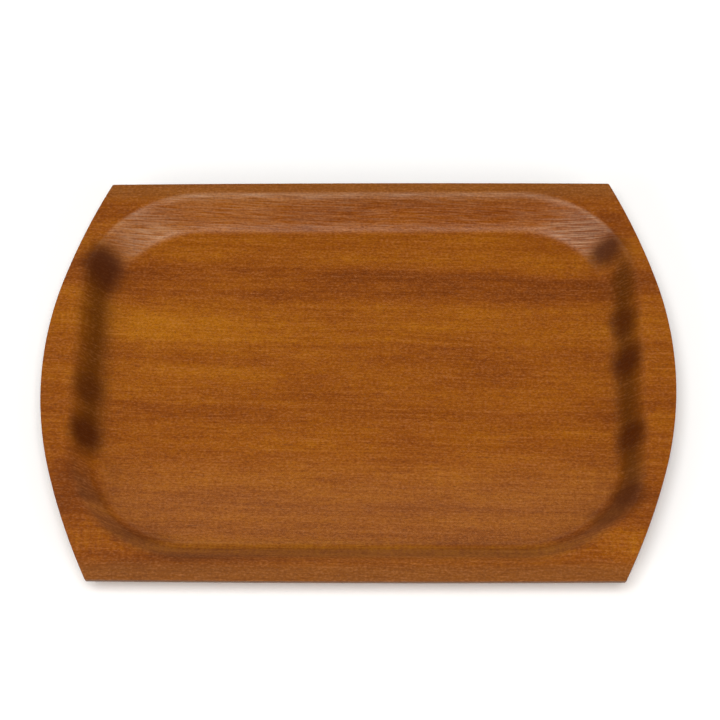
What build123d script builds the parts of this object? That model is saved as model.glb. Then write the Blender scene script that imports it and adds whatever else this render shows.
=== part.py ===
"""Serving tray moulded from seven wood veneers, built as an assembly of its separate plies.

Units are millimetres. +X runs along the tray's length and +Z is up. The origin is the middle of the trimmed
outline, on the surface that the tray stands on.

The glued veneers are pressed in a curved mould and trimmed afterwards, in one cut through all of them. Each
face of each ply is a moulded surface: a flat sunken floor, a sloped wall that bends at its foot and at its rim,
and a flat flange out to the trimmed edge. Every such surface is a true offset of the tray's upper surface, so
the plies lie face to face through the bends as well.
"""
from build123d import *
from math import radians, tan
import os

# Trimmed outline, seen from above.
TRAY_LENGTH = 450.0
TRAY_WIDTH = 313.6
SIDE_BOW = 0.8                # how far the middle of a long edge stands outside its corners
END_RADIUS = 274.0            # the middle stretch of a bowed end
END_MIDDLE_HALF = 75.0        # half the width of that stretch
CORNER_REACH = 183.5          # the corners' distance from the middle of the tray, along its length
CORNER_EASE = 1.5             # the small rounding of the four sharp corners

# Upper surface of the mould.
TRAY_HEIGHT = 24.0
FLOOR_HALF_LENGTH = 184.7     # where the planes of the floor and the walls would meet
FLOOR_HALF_WIDTH = 126.4
FLOOR_CORNER_RADIUS = 68.7
RECESS_SHIFT = 3.3            # the outline was trimmed off centre, so the recess lies towards +Y
WALL_SLOPE = 51.0             # degrees from level
FOOT_BEND = 13.0              # hollow bend between floor and wall
RIM_BEND = 10.0               # rounded bend between wall and flange

# The lay-up, from the top ply to the bottom one.
PLY_THICKNESS = 0.5
PLIES = [
    "top_face_veneer",
    "upper_crossband",
    "upper_long_ply",
    "centre_cross_ply",
    "lower_long_ply",
    "lower_crossband",
    "bottom_face_veneer",
]

LAMINATE = PLY_THICKNESS * len(PLIES)
FLANGE_TOP = TRAY_HEIGHT
FLOOR_TOP = LAMINATE
BLANK_BASE = -5.0             # the pressing blank reaches below the lowest ply
ABOVE_FLANGE = 3.0            # the hollowing tool reaches above the highest ply


def outline():
    """The trimmed edge: two long sides with a slight bow, and two ends of tangent arcs."""
    corner = Vector(CORNER_REACH, TRAY_WIDTH / 2 - SIDE_BOW)
    tip = Vector(TRAY_LENGTH / 2, 0)
    centre = tip - Vector(END_RADIUS, 0)
    rise = (END_RADIUS**2 - END_MIDDLE_HALF**2) ** 0.5
    joint = centre + Vector(rise, END_MIDDLE_HALF)
    leaving = Vector(-END_MIDDLE_HALF, rise)
    middle = ThreePointArc(Vector(joint.X, -joint.Y), tip, joint)
    shoulder = TangentArc(joint, corner, tangent=leaving)
    right = Curve() + [middle, shoulder, mirror(shoulder, about=Plane.XZ)]
    side = ThreePointArc(corner, Vector(0, TRAY_WIDTH / 2), Vector(-corner.X, corner.Y))
    edges = [*right.edges(), *mirror(right, about=Plane.YZ).edges(), side, mirror(side, about=Plane.XZ)]
    face = make_face(edges)
    return fillet(face.vertices().filter_by(lambda v: abs(abs(v.Y) - corner.Y) < 0.01), CORNER_EASE)


def hollow(depth):
    """The tool that hollows the recess out, down to the moulded surface at this depth below the upper one."""
    spread = depth * tan(radians(WALL_SLOPE / 2))
    plan = RectangleRounded(
        2 * (FLOOR_HALF_LENGTH + spread), 2 * (FLOOR_HALF_WIDTH + spread), FLOOR_CORNER_RADIUS + spread
    )
    floor = FLOOR_TOP - depth
    tool = extrude(plan, amount=FLANGE_TOP + ABOVE_FLANGE - floor, taper=WALL_SLOPE - 90)
    tool = fillet(tool.faces().sort_by(Axis.Z)[0].edges(), FOOT_BEND + depth)
    return Pos(0, RECESS_SHIFT, floor) * tool


def moulded_blank(edge, depth):
    """Everything below the moulded surface at this depth, inside the trimmed edge."""
    flange = FLANGE_TOP - depth
    blank = Pos(0, 0, BLANK_BASE) * extrude(edge, amount=flange - BLANK_BASE) - hollow(depth)
    top = blank.faces().filter_by(Plane.XY).sort_by(Axis.Z)[-1]
    return fillet(top.inner_wires()[0].edges(), RIM_BEND - depth)


def main():
    """Each ply is what lies between two neighbouring moulded surfaces."""
    os.makedirs("parts", exist_ok=True)
    edge = outline()
    blanks = [moulded_blank(edge, PLY_THICKNESS * count) for count in range(len(PLIES) + 1)]
    for name, upper, lower in zip(PLIES, blanks, blanks[1:]):
        ply = upper - lower
        ply.label = name
        export_step(ply, f"parts/{name}.step")


main()
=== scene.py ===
"""A moulded serving tray: seven leaves of veneer, pressed round one shape and trimmed through together.

Lengths are metres and X runs along the tray, as in the frame. Each leaf is modelled from its
trimmed outline and the section of its wall, and the finishes are patterns on the leaves as they
lay flat before pressing.
"""
from math import asin, cos, pi, radians, sin, tan

import bmesh
import bpy
from mathutils import Euler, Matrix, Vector


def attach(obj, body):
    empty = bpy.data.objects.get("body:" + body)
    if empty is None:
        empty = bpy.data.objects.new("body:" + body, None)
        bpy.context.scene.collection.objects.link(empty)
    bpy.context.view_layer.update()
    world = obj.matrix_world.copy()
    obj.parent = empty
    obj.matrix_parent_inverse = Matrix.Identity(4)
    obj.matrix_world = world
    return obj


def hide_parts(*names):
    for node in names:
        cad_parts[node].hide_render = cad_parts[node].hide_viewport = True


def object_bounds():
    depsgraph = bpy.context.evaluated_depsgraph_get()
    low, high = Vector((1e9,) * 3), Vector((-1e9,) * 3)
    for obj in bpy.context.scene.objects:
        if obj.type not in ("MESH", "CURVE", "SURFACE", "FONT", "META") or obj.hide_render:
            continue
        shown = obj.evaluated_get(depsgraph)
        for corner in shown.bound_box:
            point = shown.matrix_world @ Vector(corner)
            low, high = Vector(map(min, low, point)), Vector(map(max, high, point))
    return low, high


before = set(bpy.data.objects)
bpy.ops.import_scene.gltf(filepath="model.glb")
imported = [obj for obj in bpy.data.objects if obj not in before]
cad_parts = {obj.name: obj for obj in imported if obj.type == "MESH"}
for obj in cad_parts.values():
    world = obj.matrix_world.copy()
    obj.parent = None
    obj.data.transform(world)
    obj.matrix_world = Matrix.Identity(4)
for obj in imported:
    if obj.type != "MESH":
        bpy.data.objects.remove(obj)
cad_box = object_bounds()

MM = 0.001

# The tray's driving sizes. Length, width and height are the frame's own.
LOW, HIGH = (Vector(corner) for corner in cad_box)
HALF_LENGTH = HIGH.x
HALF_WIDTH = HIGH.y
FLANGE_TOP = HIGH.z
SIDE_BOW = 0.8 * MM
END_RADIUS = 274 * MM
END_MIDDLE_HALF = 75 * MM
CORNER_REACH = 183.5 * MM
CORNER_CUT = 0.95 * MM          # where the small rounding of a sharp corner starts, from the corner
FLOOR_HALF_LENGTH = 184.7 * MM  # where the planes of floor and wall would meet
FLOOR_HALF_WIDTH = 126.4 * MM
FLOOR_CORNER_RADIUS = 68.7 * MM
RECESS_SHIFT = 3.3 * MM
WALL_SLOPE = radians(51)
FOOT_BEND = 13 * MM
RIM_BEND = 10 * MM
PLY = 0.5 * MM

# From the top leaf down: the CAD node, and the slot that its finish belongs to.
LAY_UP = {
    "top_face_veneer": "face_veneer",
    "upper_crossband": "cross_grain_ply",
    "upper_long_ply": "long_grain_ply",
    "centre_cross_ply": "cross_grain_ply",
    "lower_long_ply": "long_grain_ply",
    "lower_crossband": "cross_grain_ply",
    "bottom_face_veneer": "back_veneer",
}
FLOOR_TOP = PLY * len(LAY_UP)

# How finely the leaves are modelled.
END_STEPS = 14
SIDE_STEPS = 10
CORNER_STEPS = 28
BEND_STEPS = 10
FLAT_BORDER = 1.2 * MM          # a narrow flat strip beside each bend, which keeps the flats truly flat
EDGE_BORDER = 1.0 * MM          # the same inside the trimmed edge
ARRIS = 0.28 * MM               # how far the sharp outer edges are sanded back
CORNER_CUT_STEPS = 4
ARRIS_STEPS = 4
CORNER_TOLERANCE = 0.05 * MM
WELD = 0.02 * MM                # points nearer than this are one point
SQUARE_TOLERANCE = 0.1          # how far from a right angle an edge still counts as sharp, in radians
SMOOTH_BELOW = radians(35)      # bends gentler than this are shaded smooth
UPRIGHT = 0.3                   # a face whose normal rises less than this belongs to the trimmed edge
# marks where painted shade lies along the trimmed edge
EDGE_SHADE_MASK = "edge_soak"


# ---------------------------------------------------------------- modelling the leaves

def edit(piece, keep_selection=False):
    """Enters edit mode on one piece alone."""
    bpy.ops.object.select_all(action="DESELECT")
    piece.select_set(True)
    bpy.context.view_layer.objects.active = piece
    bpy.ops.object.mode_set(mode="EDIT")
    if not keep_selection:
        bpy.ops.mesh.select_mode(type="VERT")
        bpy.ops.mesh.select_all(action="DESELECT")


def leave_edit():
    bpy.ops.object.mode_set(mode="OBJECT")


def pick(piece, kind, test):
    """In edit mode, selects the vertices, edges or faces that pass a test, and nothing else."""
    bpy.ops.mesh.select_mode(type={"verts": "VERT", "edges": "EDGE", "faces": "FACE"}[kind])
    bpy.ops.mesh.select_all(action="DESELECT")
    mesh = bmesh.from_edit_mesh(piece.data)
    for element in getattr(mesh, kind):
        if test(element):
            element.select_set(True)
    mesh.select_flush_mode()
    bmesh.update_edit_mesh(piece.data)


def apply_modifiers(piece):
    bpy.context.view_layer.objects.active = piece
    for modifier in list(piece.modifiers):
        bpy.ops.object.modifier_apply(modifier=modifier.name)


def spin_on(centre, sweep, steps):
    """Draws an arc on from the selected point, anticlockwise round a centre as seen from above."""
    bpy.ops.mesh.spin(steps=steps, angle=sweep, center=centre, axis=(0, 0, -1))


def strip_lies_outside(edge):
    """Is this the inner border of the strip that runs round the trimmed edge?"""
    middle = (edge.verts[0].co + edge.verts[1].co) / 2
    return edge.is_boundary and edge.link_faces[0].calc_center_median().length > middle.length


def trimmed_outline(height):
    """A narrow flat strip inside the trimmed edge, left with its inner border selected.

    A quarter of the edge is drawn with three arcs, and mirrored both ways."""
    bpy.ops.object.select_all(action="DESELECT")
    bpy.ops.mesh.primitive_plane_add(size=MM, location=(0, 0, 0))
    piece = bpy.context.object
    edit(piece)
    bpy.ops.mesh.select_all(action="SELECT")
    bpy.ops.mesh.merge(type="CENTER")
    bpy.ops.transform.translate(value=(HALF_LENGTH, 0, height))

    middle_centre = Vector((HALF_LENGTH - END_RADIUS, 0, height))
    middle_sweep = asin(END_MIDDLE_HALF / END_RADIUS)
    outward = Vector((cos(middle_sweep), sin(middle_sweep), 0))
    joint = middle_centre + END_RADIUS * outward
    corner = Vector((CORNER_REACH, HALF_WIDTH - SIDE_BOW, height))
    chord = corner - joint
    shoulder_radius = -chord.length_squared / (2 * chord.dot(outward))
    shoulder_centre = joint - shoulder_radius * outward
    shoulder_sweep = (corner - shoulder_centre).angle(outward)
    side_radius = (CORNER_REACH**2 + SIDE_BOW**2) / (2 * SIDE_BOW)
    side_centre = Vector((0, HALF_WIDTH - side_radius, height))
    side_sweep = asin(CORNER_REACH / side_radius)
    spin_on(middle_centre, middle_sweep, END_STEPS)
    spin_on(shoulder_centre, shoulder_sweep, END_STEPS)
    spin_on(side_centre, side_sweep, SIDE_STEPS)
    leave_edit()
    mirror = piece.modifiers.new("both ways", "MIRROR")
    mirror.use_axis = (True, True, False)
    mirror.merge_threshold = WELD
    apply_modifiers(piece)

    edit(piece)
    bpy.ops.mesh.select_all(action="SELECT")
    bpy.ops.mesh.edge_face_add()
    pick(piece, "verts", lambda vertex: abs(abs(vertex.co.x) - CORNER_REACH) < CORNER_TOLERANCE)
    bpy.ops.mesh.bevel(offset=CORNER_CUT, segments=CORNER_CUT_STEPS, affect="VERTICES")
    pick(piece, "faces", lambda face: True)
    bpy.ops.mesh.inset(thickness=EDGE_BORDER, use_even_offset=True)
    bpy.ops.mesh.delete(type="ONLY_FACE")
    pick(piece, "edges", strip_lies_outside)
    leave_edit()
    return piece


def wall_section(depth):
    """The wall of a surface this far below the upper one.

    It is a list of (distance out, height) points, from the rim in."""
    flange, floor = FLANGE_TOP - depth, FLOOR_TOP - depth
    foot, rim = FOOT_BEND + depth, RIM_BEND - depth
    spread = depth * tan(WALL_SLOPE / 2)
    run = (FLANGE_TOP - FLOOR_TOP) / tan(WALL_SLOPE)
    foot_start = spread - foot * tan(WALL_SLOPE / 2)
    rim_end = spread + run + rim * tan(WALL_SLOPE / 2)
    turns = [WALL_SLOPE * step / BEND_STEPS for step in range(BEND_STEPS + 1)]
    rim_bend = [(rim_end - rim * sin(turn), flange - rim * (1 - cos(turn))) for turn in turns]
    turns.reverse()
    foot_bend = [(foot_start + foot * sin(turn), floor + foot * (1 - cos(turn))) for turn in turns]
    return [(rim_end + FLAT_BORDER, flange), *rim_bend, *foot_bend, (foot_start - FLAT_BORDER, floor)]


def pressed_recess(depth):
    """The recess as a sheet, left with its border selected.

    A plate with round corners is set in step by step, down the wall to the floor."""
    section = wall_section(depth)
    reach, height = section[0]
    bpy.ops.object.select_all(action="DESELECT")
    bpy.ops.mesh.primitive_plane_add(size=2, location=(0, RECESS_SHIFT, height))
    piece = bpy.context.object
    piece.scale = (FLOOR_HALF_LENGTH + reach, FLOOR_HALF_WIDTH + reach, 1)
    bpy.ops.object.transform_apply(location=True, rotation=True, scale=True)
    edit(piece)
    bpy.ops.mesh.select_all(action="SELECT")
    bpy.ops.mesh.bevel(offset=FLOOR_CORNER_RADIUS + reach, segments=CORNER_STEPS, affect="VERTICES")
    pick(piece, "faces", lambda face: True)
    for (out, high), (next_out, next_high) in zip(section, section[1:]):
        bpy.ops.mesh.inset(thickness=out - next_out, depth=next_high - high, use_even_offset=True)
    pick(piece, "edges", lambda edge: edge.is_boundary)
    leave_edit()
    return piece


def moulded_leaf(name, depth):
    """One veneer, whose upper surface lies this far below the tray's."""
    edge_strip, recess = trimmed_outline(FLANGE_TOP - depth), pressed_recess(depth)
    bpy.ops.object.select_all(action="DESELECT")
    edge_strip.select_set(True)
    recess.select_set(True)
    bpy.context.view_layer.objects.active = edge_strip
    bpy.ops.object.join()
    piece = bpy.context.object
    piece.name = piece.data.name = name
    edit(piece, keep_selection=True)
    bpy.ops.mesh.fill(use_beauty=True)
    bpy.ops.mesh.select_all(action="SELECT")
    bpy.ops.mesh.normals_make_consistent(inside=False)
    floor = max(bmesh.from_edit_mesh(piece.data).faces, key=lambda face: face.calc_area())
    if floor.normal.z < 0:
        bpy.ops.mesh.flip_normals()
    leave_edit()
    thickness = piece.modifiers.new("thickness", "SOLIDIFY")
    thickness.thickness = PLY
    thickness.offset = -1
    thickness.use_even_offset = True
    apply_modifiers(piece)
    return piece


def sand_arris(piece, height):
    """Takes the sharp outer edge at a height off a leaf."""
    def sharp(edge):
        level = all(abs(vertex.co.z - height) < CORNER_TOLERANCE for vertex in edge.verts)
        return level and abs(edge.calc_face_angle(0) - pi / 2) < SQUARE_TOLERANCE
    edit(piece)
    pick(piece, "edges", sharp)
    bpy.ops.mesh.bevel(offset=ARRIS, segments=ARRIS_STEPS, affect="EDGES")
    leave_edit()


def mark_trimmed_edge(piece):
    """Marks the vertices of the trimmed edge, where painted shade darkens the edge."""
    mesh = bmesh.new()
    mesh.from_mesh(piece.data)
    shade_flag = mesh.verts.layers.float.new(EDGE_SHADE_MASK)
    for vertex in mesh.verts:
        vertex[shade_flag] = float(any(abs(face.normal.z) < UPRIGHT for face in vertex.link_faces))
    mesh.to_mesh(piece.data)
    mesh.free()


def smooth(piece):
    bpy.ops.object.select_all(action="DESELECT")
    piece.select_set(True)
    bpy.context.view_layer.objects.active = piece
    bpy.ops.object.shade_smooth_by_angle(angle=SMOOTH_BELOW)


# ---------------------------------------------------------------- finishes

def colour(red, green, blue):
    """A colour from its screen values, 0 to 255, as the linear numbers that a shader takes."""
    def linear(level):
        level = level / 255
        return level / 12.92 if level <= 0.04045 else ((level + 0.055) / 1.055) ** 2.4
    return (linear(red), linear(green), linear(blue), 1.0)


class Number:
    """A number that varies over a surface. Maths on it adds the finish's own Math nodes."""

    def __init__(self, finish, socket):
        self.finish = finish
        self.socket = socket

    def maths(self, operation, *values):
        return self.finish.add("ShaderNodeMath", {"operation": operation}, values)

    def __add__(self, other):
        return self.maths("ADD", self, other)

    def __sub__(self, other):
        return self.maths("SUBTRACT", self, other)

    def __rsub__(self, other):
        return self.maths("SUBTRACT", other, self)

    def __mul__(self, other):
        return self.maths("MULTIPLY", self, other)

    def __truediv__(self, other):
        return self.maths("DIVIDE", self, other)

    def __neg__(self):
        return self * -1

    def __abs__(self):
        return self.maths("ABSOLUTE", self)

    def larger(self, other):
        return self.maths("MAXIMUM", self, other)

    def rise(self, low, high):
        """0 below low and 1 above high, with a smooth step between. A high below low falls instead."""
        settings = {"interpolation_type": "SMOOTHSTEP"}
        return self.finish.add("ShaderNodeMapRange", settings, (self, low, high, 0.0, 1.0))

    __radd__ = __add__
    __rmul__ = __mul__


class Finish:
    """A material being built up round one Principled shader."""

    def __init__(self, name):
        self.material = bpy.data.materials.new(name)
        self.material.use_nodes = True
        self.tree = self.material.node_tree
        self.shader = self.tree.nodes["Principled BSDF"]
        place = self.add("ShaderNodeTexCoord", {}, {}, "Object")
        self.x, self.y, self.z = (self.part(place, axis) / MM for axis in "XYZ")

    def add(self, kind, settings, values, output=None):
        """Adds a node: its type, its settings, and what goes into its sockets, by order or by name."""
        node = self.tree.nodes.new(kind)
        for name, value in settings.items():
            if name == "stops":
                self.set_stops(node.color_ramp, value)
            else:
                setattr(node, name, value)
        sockets = [socket for socket in node.inputs if socket.enabled]
        if isinstance(values, dict):
            named = {socket.name: socket for socket in reversed(sockets)}
            pairs = [(named[name], value) for name, value in values.items()]
        else:
            pairs = zip(sockets, values)
        for socket, value in pairs:
            self.feed(socket, value)
        results = [socket for socket in node.outputs if socket.enabled]
        chosen = next(socket for socket in results if output in (None, socket.name))
        return Number(self, chosen)

    def feed(self, socket, value):
        if isinstance(value, Number):
            self.tree.links.new(value.socket, socket)
        else:
            socket.default_value = value

    def set_stops(self, ramp, stops):
        ramp.interpolation = "B_SPLINE" if len(stops) > 4 else "LINEAR"
        while len(ramp.elements) < len(stops):
            ramp.elements.new(1.0)
        for element, (position, value) in zip(ramp.elements, stops):
            element.position = position
            element.color = value if isinstance(value, tuple) else (value, value, value, 1.0)

    def part(self, vector, axis):
        return self.add("ShaderNodeSeparateXYZ", {}, [vector], axis)

    def point(self, x, y, z):
        return self.add("ShaderNodeCombineXYZ", {}, [x, y, z])

    def noise(self, point, detail=2.0, roughness=0.5):
        """Soft random values from 0 to 1, about 0.5, that change over one unit of the point's space."""
        values = {"Vector": point, "Scale": 1.0, "Detail": detail, "Roughness": roughness}
        return self.add("ShaderNodeTexNoise", {}, values, "Fac")

    def length(self, vector):
        return self.add("ShaderNodeVectorMath", {"operation": "LENGTH"}, [vector], "Value")

    def ramp(self, number, stops):
        return self.add("ShaderNodeValToRGB", {"stops": stops}, [number], "Color")

    def mix(self, factor, first, second):
        settings = {"data_type": "RGBA", "blend_type": "MIX", "clamp_factor": True}
        return self.add("ShaderNodeMix", settings, {"Factor": factor, "A": first, "B": second})

    def bump(self, height, depth):
        """A height of 1 stands this many metres proud."""
        return self.add("ShaderNodeBump", {}, {"Strength": 1.0, "Distance": depth, "Height": height})

    def shade(self, **values):
        for name, value in values.items():
            self.feed(self.shader.inputs[name.replace("_", " ").title().replace("Ior", "IOR")], value)
        return self.material


class Veneer(Finish):
    """Sliced veneer, its grain along X, as it lay flat before it was pressed.

    All its places and sizes are in millimetres."""

    GRAIN_SLANT = 0.028             # how far the grain runs out of line with the tray
    # The slow and the quick wandering of the grain: the length and width of a swing, and its size.
    DRIFT = (190, 70, 9)
    WAVER = (45, 14, 1.3)
    SIDE_WALLS = (70.0, 125.0)      # from here to here out from the middle, the side walls take over

    def __init__(self, name, seed):
        super().__init__(name)
        self.seed = seed
        inner, outer = self.SIDE_WALLS
        which_side = self.y.rise(inner, outer) - self.y.rise(-inner, -outer)
        drawn_in = self.z * which_side * tan(WALL_SLOPE / 2)
        across = self.y + drawn_in + self.x * self.GRAIN_SLANT
        drift = self.wander(across, seed, *self.DRIFT)
        waver = self.wander(across, seed + 3, *self.WAVER)
        self.across = across + drift + waver

    def wander(self, across, seed, length, width, size):
        at = self.point(self.x / length, across / width, seed)
        return (self.noise(at, detail=1.0) - 0.5) * size

    def shaded_edge(self, shade):
        """A shade that is darker at the trimmed edge: painted shade along the edge."""
        edge = self.add("ShaderNodeAttribute", {"attribute_name": EDGE_SHADE_MASK}, {}, "Fac")
        return self.mix(edge * 0.9, shade, EDGE_SHADE_BROWN)

    def streaks(self, length, width, detail=2.0, roughness=0.55, shift=0.0):
        """Noise drawn out along the grain, with features about this long and wide, in millimetres."""
        at = self.point(self.x / length, self.across / width, self.seed + shift)
        return self.noise(at, detail=detail, roughness=roughness)


# The face leaf's pattern, as the leaf lies on the tray, in millimetres.
FLOOR_LEVEL = FLOOR_TOP / MM
FLANGE_LEVEL = FLANGE_TOP / MM
NEAR_WALL = -128.0              # the middle of the near wall

# Broad bands in the face leaf: the middle across the grain, the half width, and the change of tone.
FACE_BANDS = [
    (146, 14, -0.18),
    (112, 12, 0.08),
    (83, 14, -0.27),
    (50, 15, 0.10),
    (-20, 9, -0.08),
    (-70, 10, 0.03),
    (-100, 16, -0.06),
    (-134, 10, 0.18),
    (-160, 12, -0.18),
]
# Golden and ruddy patches, and two of painted shade: the middle, the half sizes along and across the
# tray, and the change of tone.
FACE_PATCHES = [
    (-110, 142, 80, 16, 0.20),
    (172, 122, 26, 20, -0.22),
    (-110, 84, 70, 20, 0.14),
    (-135, 45, 110, 20, 0.30),
    (-110, 10, 90, 9, 0.16),
    (95, 18, 90, 16, -0.14),
    (140, -25, 60, 14, -0.06),
    (-40, -62, 80, 10, 0.08),
    (-201, -90, 22, 42, -0.40),
    (200, -102, 20, 30, -0.22),
    # painted shade: these two patches darken the near corner walls, turned from the light
    (-166, -118, 34, 20, -0.24),
    (164, -122, 32, 18, -0.24),
    (-130, -146, 60, 14, -0.22),
]
# Painted shade over the end walls, soft dark golden-brown bands: the middle, the half sizes and the
# strength.
END_SHADE_BANDS = [(-190.5, 26, 17.0, 92, 0.88), (191.5, 4, 13.5, 110, 0.93)]
# The darker press stains in and beside those bands, each given in the same way.
PRESS_STAINS = [
    (-187, 91, 19, 20, 0.98),
    (-193, -6, 14, 16, 0.68),
    (-192, -42, 14, 18, 0.94),
    (-171, -66, 8, 9, 0.14),
    (-184, -90, 15, 9, 0.34),
    (-150, -118, 30, 8, 0.30),
    (181, 104, 17, 12, 0.94),
    (191, 48, 12, 14, 0.72),
    (192, 15, 14, 15, 0.96),
    (193, -43, 13, 14, 0.88),
    (187, -91, 15, 17, 0.84),
    (176, -104, 18, 12, 0.62),
]
# Where the bends of the far corners get a painted pale sheen, and more lacquer: the middle and the half
# sizes.
SHEEN_CORNERS = [(-152, 112, 32, 24), (153, 114, 42, 25)]

WOOD_TONES = [
    (0.0, colour(100, 46, 2)),
    (0.25, colour(118, 57, 3)),
    (0.5, colour(132, 69, 3)),
    (0.75, colour(143, 80, 3)),
    (1.0, colour(157, 94, 4)),
]
WARM_SHINE = (1.0, 0.86, 0.68, 1.0)
LIGHT_FIBRE = colour(190, 126, 80)
DARK_FIBRE = colour(80, 28, 3)
RIM_BROWN = colour(120, 71, 27)
# painted shade for the end walls, a dark golden brown
END_SHADE_BROWN = colour(84, 42, 0)
STAIN_BROWN = colour(68, 26, 0)
# painted sheen and haze of reflection, a pale beige
SHEEN_PALE = colour(178, 134, 92)
PORE_BROWN = colour(66, 30, 6)
# painted shade along the trimmed edge
EDGE_SHADE_BROWN = colour(72, 44, 18)


class FaceVeneer(Veneer):
    """The face leaf: its layers of grain, from broad to fine, and soft patches that can lie on it."""

    PATCH_WANDER = 9.0              # how far the outline of a patch strays
    PATCH_WAVE = 16                 # how long a wave of that outline is

    def __init__(self, name, seed):
        super().__init__(name, seed)
        self.broad = self.streaks(260, 11) - 0.5
        self.cloud = self.streaks(55, 20, detail=3.0, shift=31) - 0.5
        self.middling = self.streaks(80, 2.6, detail=3.0, shift=11) - 0.5
        self.mottle = self.streaks(6, 4, shift=77) - 0.5
        self.fibres = self.streaks(14, 0.9, roughness=0.6, shift=23) - 0.5
        self.grit = self.streaks(2.1, 1.3, detail=1.0, shift=7) - 0.5
        self.sheen = self.streaks(22, 1.2, detail=3.0, shift=61) - 0.5
        self.veins = self.streaks(20, 0.8, shift=53).rise(0.66, 0.78)
        self.pores = self.streaks(3.2, 0.16, detail=1.0, shift=41).rise(0.60, 0.72)
        self.stray_x, self.stray_y = self.stray(5), self.stray(9)
        off_the_floor = self.z.rise(FLOOR_LEVEL, FLOOR_LEVEL + 2.1)
        self.bent = off_the_floor * self.z.rise(FLANGE_LEVEL, FLANGE_LEVEL - 0.7)

    def stray(self, turn):
        at = self.point(self.x / self.PATCH_WAVE, self.y / self.PATCH_WAVE, self.seed + turn)
        return (self.noise(at, detail=3.0) - 0.5) * self.PATCH_WANDER

    def patch(self, x, y, half_length, half_width):
        """1 in the middle of a soft oval and 0 outside it."""
        away_x = (self.x + self.stray_x - x) / half_length
        away_y = (self.y + self.stray_y - y) / half_width
        return self.length(self.point(away_x, away_y, 0.0)).rise(1.15, 0.25)


def figure(wood):
    """The shade of the clean leaf: its streaks and clouds, broad bands, and coloured patches."""
    tone = 0.5 + wood.broad * 0.5 + wood.cloud * 0.7 + wood.middling * 0.25 + wood.mottle * 0.6
    for middle, half_width, change in FACE_BANDS:
        tone = tone + abs(wood.across - middle).rise(half_width * 1.5, half_width * 0.3) * change
    for *place, change in FACE_PATCHES:
        tone = tone + wood.patch(*place) * change
    ripple = wood.streaks(3, 16, shift=89) - 0.5
    tone = tone + abs(wood.y - NEAR_WALL).rise(14.0, 4.0) * ripple * 0.8
    along_the_rims = abs(wood.y).rise(138.0, 150.0)
    return wood.mix(along_the_rims * 0.65, wood.ramp(tone, WOOD_TONES), RIM_BROWN)


def end_shade_and_press_stains(wood, shade):
    """Paints shade over the end walls in dark golden-brown bands, and darker press stains in and beside
    them.

    It returns the shade, and how clean the wood is left, from 0 to 1."""
    undulled = 1.0
    for x, y, half_width, half_length, strength in END_SHADE_BANDS:
        beside = abs(wood.x + wood.stray_x * 0.5 - x).rise(half_width, 0.0)
        shade_band = beside * abs(wood.y - y).rise(half_length, half_length * 0.7)
        # painted shade over the end wall
        shade = wood.mix(shade_band * strength, shade, END_SHADE_BROWN)
        undulled = undulled * (1 - shade_band * 0.5)
    unmarked = 1.0
    for *place, strength in PRESS_STAINS:
        unmarked = (1 - wood.patch(*place) * strength) * unmarked
    return wood.mix(1 - unmarked, shade, STAIN_BROWN), undulled * unmarked


def painted_sheen(wood, far_side, corner):
    """How much painted sheen the far bends get: in streaks, most at the corners, with a painted
    highlight along the crest.
    """
    leftward = wood.x.rise(60.0, -90.0)
    streaky = leftward * 0.18 + wood.sheen * 1.4 + corner * (0.34 + wood.sheen * 2.8)
    off_the_wall = wood.z.rise(FLANGE_LEVEL - 1.6, FLANGE_LEVEL - 0.9)
    crest = off_the_wall * wood.z.rise(FLANGE_LEVEL, FLANGE_LEVEL - 0.4)
    crest_highlight = (0.10 + wood.broad * 0.9).larger(0.0)
    return far_side * wood.bent * streaky.larger(0.0) + far_side * crest * crest_highlight


def painted_near_haze(wood):
    """Where the near part of the floor and the near wall get a painted haze of reflection, which the
    wall's foot doesn't.
    """
    on_the_floor = wood.z.rise(FLOOR_LEVEL + 1.5, FLOOR_LEVEL)
    on_the_wall = wood.z.rise(8.0, 11.0) * wood.z.rise(23.6, 21.0)
    return wood.y.rise(-40.0, -95.0) * (on_the_floor + on_the_wall)


def fibrous(wood, shade, fine):
    """Lays paler and darker fibres over a shade, where the fine noise is above or below its middle."""
    shade = wood.mix(fine.larger(0.0) * 0.10, shade, LIGHT_FIBRE)
    return wood.mix((-fine).larger(0.0) * 0.18, shade, DARK_FIBRE)


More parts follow.
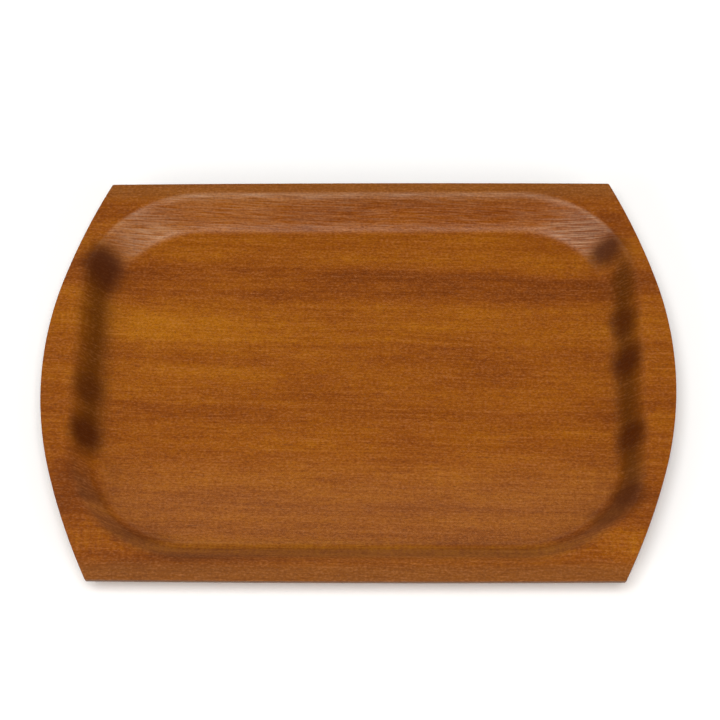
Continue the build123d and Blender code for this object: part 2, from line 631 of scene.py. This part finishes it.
def face_veneer():
    """The show face: a ruddy golden-brown quarter-cut leaf under a satin lacquer."""
    wood = FaceVeneer("face veneer", seed=2.0)
    fibres, middling, sheen = wood.fibres, wood.middling, wood.sheen
    pores, bent = wood.pores, wood.bent
    shade, clean = end_shade_and_press_stains(wood, figure(wood))
    far_side = wood.y.rise(85.0, 125.0) * clean
    near_bends = wood.y.rise(-60.0, -110.0) * bent
    corner = sum(wood.patch(*place) for place in SHEEN_CORNERS)
    # painted sheen on the far bends, and a painted haze of reflection on the near side
    sheen_and_haze_painted = painted_sheen(wood, far_side, corner) * 0.6 + painted_near_haze(wood) * clean * 0.08
    shade = wood.mix(sheen_and_haze_painted, shade, SHEEN_PALE)
    fine = wood.grit * 7.6 + fibres * 5.0 + middling * 3.2
    shade = fibrous(wood, shade, fine * (clean * 0.8 + 0.2))
    shade = wood.mix(pores * 0.30 + wood.veins * 0.5, shade, PORE_BROWN)
    # painted shade along the trimmed edge
    shade = wood.shaded_edge(shade)

    fine_roughness = sheen * 0.40 - fibres * 0.14 + pores * 0.15
    roughness = 0.32 + near_bends * 0.35 + bent * 0.08 + fine_roughness
    relief = fibres * 0.9 + sheen * (far_side * 3.0 + 0.2) + middling * 0.8
    height = relief * (bent * 0.8 + 0.2) * clean - pores * 0.5 - wood.veins * 0.3
    lacquer = far_side * bent * (0.22 + corner * 0.60 + sheen * (2.2 + corner * 1.8))
    return wood.shade(
        base_color=shade,
        roughness=roughness,
        normal=wood.bump(height, 0.11 * MM),
        specular_ior_level=0.20,
        specular_tint=WARM_SHINE,
        coat_weight=lacquer.larger(0.0),
        coat_roughness=0.52,
        coat_ior=1.5,
    )


def plain_wood(name, seed, tones, roughness):
    """A leaf with little figure of its own, for the underside."""
    wood = Veneer(name, seed)
    broad = wood.streaks(150, 8) - 0.5
    middling = wood.streaks(50, 1.8, detail=3.0, shift=11) - 0.5
    fibres = wood.streaks(14, 0.5, roughness=0.6, shift=23) - 0.5
    pores = wood.streaks(3.0, 0.15, detail=1.0, shift=41).rise(0.60, 0.72)
    grit = wood.streaks(1.9, 1.1, detail=1.0, shift=7) - 0.5
    tone = 0.5 + broad * 1.2 + middling * 0.5
    shade = fibrous(wood, wood.ramp(tone, tones), grit * 5.0 + fibres * 4.0 + middling * 2.5)
    shade = wood.mix(pores * 0.35, shade, PORE_BROWN)
    # painted shade along the trimmed edge
    shade = wood.shaded_edge(shade)
    height = fibres * 0.9 + middling * 0.5 - pores * 0.8
    return wood.shade(
        base_color=shade,
        roughness=roughness + middling * 0.1,
        normal=wood.bump(height, 0.04 * MM),
        specular_ior_level=0.35,
    )


def edge_ply(name, seed, light, dark):
    """An inner ply, of which only the trimmed edge shows: fine lines along it and pores across it."""
    wood = Finish(name)
    round_edge = wood.x + wood.y
    bands = wood.noise(wood.point(round_edge / 9, wood.z / 0.4, seed), detail=3.0) - 0.5
    dots = wood.noise(wood.point(round_edge / 0.35, wood.z / 0.12, seed + 5), detail=2.0) - 0.5
    tone = 0.5 + bands * 0.9 + dots * 0.7
    shade = wood.ramp(tone, [(0.0, dark), (1.0, light)])
    return wood.shade(
        base_color=shade,
        roughness=0.5 + dots * 0.2,
        normal=wood.bump(dots, 0.04 * MM),
        specular_ior_level=0.2,
    )


def make_finishes():
    return {
        "face_veneer": face_veneer(),
        "back_veneer": plain_wood("back veneer", 70.0, WOOD_TONES, 0.48),
        "long_grain_ply": edge_ply("long grain ply", 12.0, colour(142, 98, 54), colour(102, 64, 30)),
        "cross_grain_ply": edge_ply("cross grain ply", 17.0, colour(100, 62, 32), colour(66, 38, 16)),
    }


# ---------------------------------------------------------------- putting the tray together

def make_tray():
    finishes = make_finishes()
    for count, (node, slot) in enumerate(LAY_UP.items()):
        leaf = moulded_leaf(node + "_leaf", PLY * count)
        if node == "top_face_veneer":
            sand_arris(leaf, FLANGE_TOP)
        if node == "bottom_face_veneer":
            sand_arris(leaf, FLANGE_TOP - FLOOR_TOP)
        mark_trimmed_edge(leaf)
        smooth(leaf)
        leaf.data.materials.clear()
        leaf.data.materials.append(finishes[slot])
        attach(leaf, "root")
        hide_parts(node)


# ---------------------------------------------------------------- the studio

PAPER_SIZE = 8
PAPER_GAP = 0.2 * MM            # keeps the paper from sharing the underside's plane
PAPER_WHITE = (0.87, 0.87, 0.87, 1.0)
KEY_TINT = (1.0, 0.99, 0.975)
SIDE_TINT = (1.0, 0.95, 0.88)
FAR_TINT = (1.0, 1.0, 1.0)
ROOM_WHITE = (1.0, 1.0, 1.0, 1.0)
ROOM_GLOW = 0.13
# The soft boxes: name, place, size, power in watts, and tint.
SOFT_BOXES = [
    ("key_box", (-0.15, -0.66, 2.90), (2.4, 1.4), 82, KEY_TINT),
    ("left_box", (-2.00, -1.40, 1.05), (1.8, 1.5), 30, SIDE_TINT),
    ("right_box", (2.00, -1.40, 1.05), (1.8, 1.5), 28, SIDE_TINT),
    ("far_box", (0.0, 2.30, 1.20), (3.2, 1.4), 20, FAR_TINT),
]
CAMERA_PLACE = (0.0448, -0.6916, 1.4406)
CAMERA_TURN = (26.378, 1.403, 0.684)    # degrees
FOCAL_LENGTH = 111.25                   # millimetres, on the sensor below
SENSOR_WIDTH = 36
CAMERA_REACH = 20


def make_floor():
    bpy.ops.object.select_all(action="DESELECT")
    bpy.ops.mesh.primitive_plane_add(size=PAPER_SIZE, location=(0, 0, -PAPER_GAP))
    floor = bpy.context.object
    floor.name = "studio_floor"
    paper = Finish("studio paper")
    floor.data.materials.append(paper.shade(base_color=PAPER_WHITE, roughness=0.9))


def soft_light(name, place, size, power, tint):
    """A soft box that faces the middle of the tray."""
    lamp = bpy.data.lights.new(name, "AREA")
    lamp.shape = "RECTANGLE"
    lamp.size, lamp.size_y = size
    lamp.energy = power
    lamp.color = tint
    light = bpy.data.objects.new(name, lamp)
    light.location = place
    light.rotation_euler = (-Vector(place)).to_track_quat("-Z", "Y").to_euler()
    bpy.context.collection.objects.link(light)


def make_lights():
    for soft_box in SOFT_BOXES:
        soft_light(*soft_box)
    world = bpy.data.worlds.new("studio")
    world.use_nodes = True
    background = world.node_tree.nodes["Background"]
    background.inputs["Color"].default_value = ROOM_WHITE
    background.inputs["Strength"].default_value = ROOM_GLOW
    bpy.context.scene.world = world


def make_camera():
    """Looks down at the tray from in front of its near long edge."""
    lens = bpy.data.cameras.new("camera")
    lens.sensor_width = SENSOR_WIDTH
    lens.lens = FOCAL_LENGTH
    lens.clip_end = CAMERA_REACH
    camera = bpy.data.objects.new("camera", lens)
    camera.location = CAMERA_PLACE
    camera.rotation_euler = Euler([radians(turn) for turn in CAMERA_TURN])
    bpy.context.collection.objects.link(camera)
    bpy.context.scene.camera = camera


make_tray()
make_floor()
make_lights()
make_camera()
bpy.context.scene.view_settings.view_transform = "Standard"
